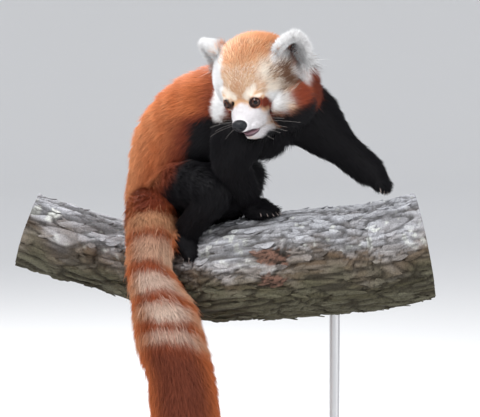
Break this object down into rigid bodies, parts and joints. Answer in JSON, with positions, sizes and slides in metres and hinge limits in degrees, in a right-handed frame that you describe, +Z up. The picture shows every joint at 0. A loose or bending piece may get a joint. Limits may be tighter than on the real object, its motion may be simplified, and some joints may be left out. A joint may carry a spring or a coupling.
{
  "type": "red panda figure",
  "caption": "Life-size red panda crouching on a cut length of branch, head turned back over its right side, tail hanging, held on a plain display stand.",
  "frame": {"origin": "centre of the underside of the stand's base plate", "axes": "+Z up, the longest way of the figure; +X along the branch towards the animal's left forepaw; the face looks towards -Y and -X"},
  "size_m": [0.4944, 0.3293, 0.6519],
  "materials": {
    "red_coat": "long soft fur, red-brown",
    "face_coat": "short fur, tan crown with white cheeks, brows and muzzle",
    "white_coat": "white fur",
    "black_coat": "black fur",
    "tail_coat": "bushy fur ringed in pale tan and red-brown",
    "nose_leather": "moist black",
    "tongue": "moist",
    "eye": "wet, dark brown",
    "bark": "rough grey bark",
    "stand_plate": "satin dark stain",
    "stand_rod": "brushed"
  },
  "bodies": {
    "root": {"torso": "red_coat", "neck": "red_coat", "head": "face_coat", "nose": "nose_leather", "tongue": "tongue", "eye_left": "eye", "eye_right": "eye", "ear_left": "white_coat", "ear_right": "white_coat", "foreleg_left": "black_coat", "foreleg_right": "black_coat", "hindleg_left": "black_coat", "hindleg_right": "black_coat", "forepaw_left": "black_coat", "forepaw_right": "black_coat", "hindpaw_left": "black_coat", "hindpaw_right": "black_coat", "tail_root": "tail_coat", "tail_middle": "tail_coat", "tail_tip": "tail_coat", "perch_branch": "bark", "stand_base": "stand_plate", "stand_rod_left": "stand_rod", "stand_rod_right": "stand_rod"}
  },
  "joints": []
}
